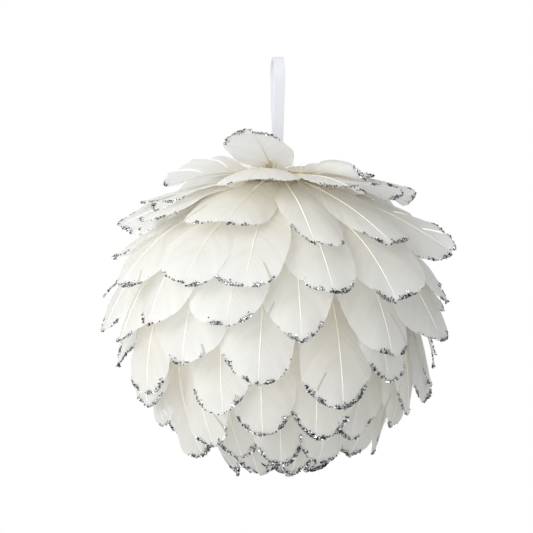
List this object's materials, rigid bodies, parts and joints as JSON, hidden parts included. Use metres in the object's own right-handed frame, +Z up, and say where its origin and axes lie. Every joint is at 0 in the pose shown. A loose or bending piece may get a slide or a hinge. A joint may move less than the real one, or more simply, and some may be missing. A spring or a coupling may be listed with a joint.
{
  "type": "feather ball ornament",
  "caption": "Hanging ball ornament: a foam ball shingled all over with white feathers whose tips are edged with silver glitter, on a loop of thin ribbon.",
  "frame": {"origin": "inside top of the ribbon loop, where it bears on its hook", "axes": "+Z up along the ribbon, -Y towards the front"},
  "size_m": [0.1118, 0.1085, 0.1332],
  "materials": {
    "feather": "satin",
    "foam": "matte",
    "ribbon": "satin",
    "glue": "satin"
  },
  "bodies": {
    "loop": {"ribbon_loop": "ribbon"},
    "neck_upper": {"ribbon_neck_upper": "ribbon"},
    "neck_lower": {"ribbon_neck_lower": "ribbon"},
    "ball": {"foam_core": "foam", "glue_plug": "glue", "ribbon_tails": "ribbon", "feather_crown_1": "feather", "feather_crown_2": "feather", "feather_crown_3": "feather", "feather_crown_4": "feather", "feather_crown_5": "feather", "feather_crown_6": "feather", "feather_crown_7": "feather", "feather_collar_1": "feather", "feather_collar_2": "feather", "feather_collar_3": "feather", "feather_collar_4": "feather", "feather_collar_5": "feather", "feather_collar_6": "feather", "feather_collar_7": "feather", "feather_collar_8": "feather", "feather_collar_9": "feather", "feather_shoulder_1": "feather", "feather_shoulder_2": "feather", "feather_shoulder_3": "feather", "feather_shoulder_4": "feather", "feather_shoulder_5": "feather", "feather_shoulder_6": "feather", "feather_shoulder_7": "feather", "feather_shoulder_8": "feather", "feather_shoulder_9": "feather", "feather_shoulder_10": "feather", "feather_shoulder_11": "feather", "feather_upper_1": "feather", "feather_upper_2": "feather", "feather_upper_3": "feather", "feather_upper_4": "feather", "feather_upper_5": "feather", "feather_upper_6": "feather", "feather_upper_7": "feather", "feather_upper_8": "feather", "feather_upper_9": "feather", "feather_upper_10": "feather", "feather_upper_11": "feather", "feather_upper_12": "feather", "feather_row_5": "feather", "feather_row_6": "feather", "feather_row_7": "feather", "feather_row_8": "feather", "feather_row_9": "feather", "feather_row_10": "feather", "feather_closing": "feather"}
  },
  "joints": [
    {"name": "swing_fore_aft", "type": "hinge", "parent": "loop", "child": "neck_upper", "pos_m": [0, 0, -0.03045], "axis": [1, 0, 0], "range_deg": [-30, 30]},
    {"name": "swing_sideways", "type": "hinge", "parent": "neck_upper", "child": "neck_lower", "pos_m": [0, 0, -0.0339], "axis": [0, 1, 0], "range_deg": [-30, 30]},
    {"name": "spin", "type": "hinge", "parent": "neck_lower", "child": "ball", "pos_m": [0, 0, -0.03715], "axis": [0, 0, 1], "range_deg": [-180, 180]}
  ]
}
